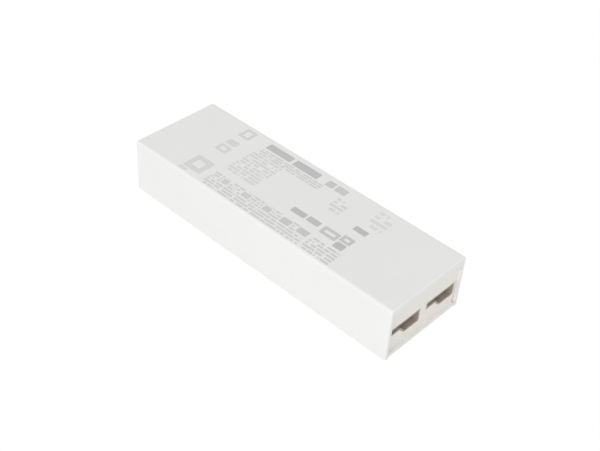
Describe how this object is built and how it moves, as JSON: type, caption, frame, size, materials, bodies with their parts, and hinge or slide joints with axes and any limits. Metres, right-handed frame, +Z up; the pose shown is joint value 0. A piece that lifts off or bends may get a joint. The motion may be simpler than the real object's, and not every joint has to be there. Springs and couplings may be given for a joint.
{
  "type": "led driver",
  "caption": "Closed white plastic LED driver with a figure-eight mains inlet at one end and keyed low-voltage sockets at the other.",
  "frame": {"origin": "middle of the underside, on the surface it stands on", "axes": "+X along the length towards the end with the output sockets, +Z up"},
  "size_m": [0.13, 0.041, 0.023],
  "materials": {
    "white_plastic": "satin",
    "dark_plastic": "satin",
    "black_plastic": "satin",
    "tinned_metal": "tin plated",
    "zinc_steel": "zinc plated",
    "board_laminate": "solder mask",
    "insulation": "pressed sheet",
    "fuse_case": "moulded",
    "varistor_coat": "dipped",
    "film_case": "moulded",
    "ferrite": "ground",
    "copper_wire": "enamelled",
    "can_sleeve": "shrink sleeve",
    "tape": "film tape",
    "nylon": "moulded",
    "disc_coat": "dipped",
    "resistor_coat": "lacquered"
  },
  "bodies": {
    "root": {"top_cover": "white_plastic", "base_tray": "white_plastic", "output_socket_front": "dark_plastic", "output_socket_back": "dark_plastic", "output_pin_front_plus": "tinned_metal", "output_pin_front_minus": "tinned_metal", "output_pin_back_plus": "tinned_metal", "output_pin_back_minus": "tinned_metal", "mains_inlet": "black_plastic", "mains_pin_live": "tinned_metal", "mains_pin_neutral": "tinned_metal", "housing_screw_far_front": "zinc_steel", "housing_screw_far_back": "zinc_steel", "housing_screw_near_front": "zinc_steel", "housing_screw_near_back": "zinc_steel", "circuit_board": "board_laminate", "insulation_sheet": "insulation", "fuse": "fuse_case", "varistor": "varistor_coat", "suppression_capacitor": "film_case", "choke_core": "ferrite", "choke_base": "nylon", "choke_winding_line": "copper_wire", "choke_winding_return": "copper_wire", "bridge_rectifier": "black_plastic", "filter_inductor": "black_plastic", "bulk_capacitor_front": "can_sleeve", "bulk_capacitor_middle": "can_sleeve", "controller_chip": "black_plastic", "transformer_core_far": "ferrite", "transformer_core_near": "ferrite", "transformer_bobbin": "nylon", "transformer_winding": "copper_wire", "transformer_tape": "tape", "safety_capacitor": "disc_coat", "optocoupler": "black_plastic", "output_diode": "black_plastic", "snubber_resistor": "resistor_coat", "output_capacitor_front": "can_sleeve", "output_capacitor_back": "can_sleeve", "output_inductor_core": "ferrite", "output_inductor_winding": "copper_wire"}
  },
  "joints": []
}
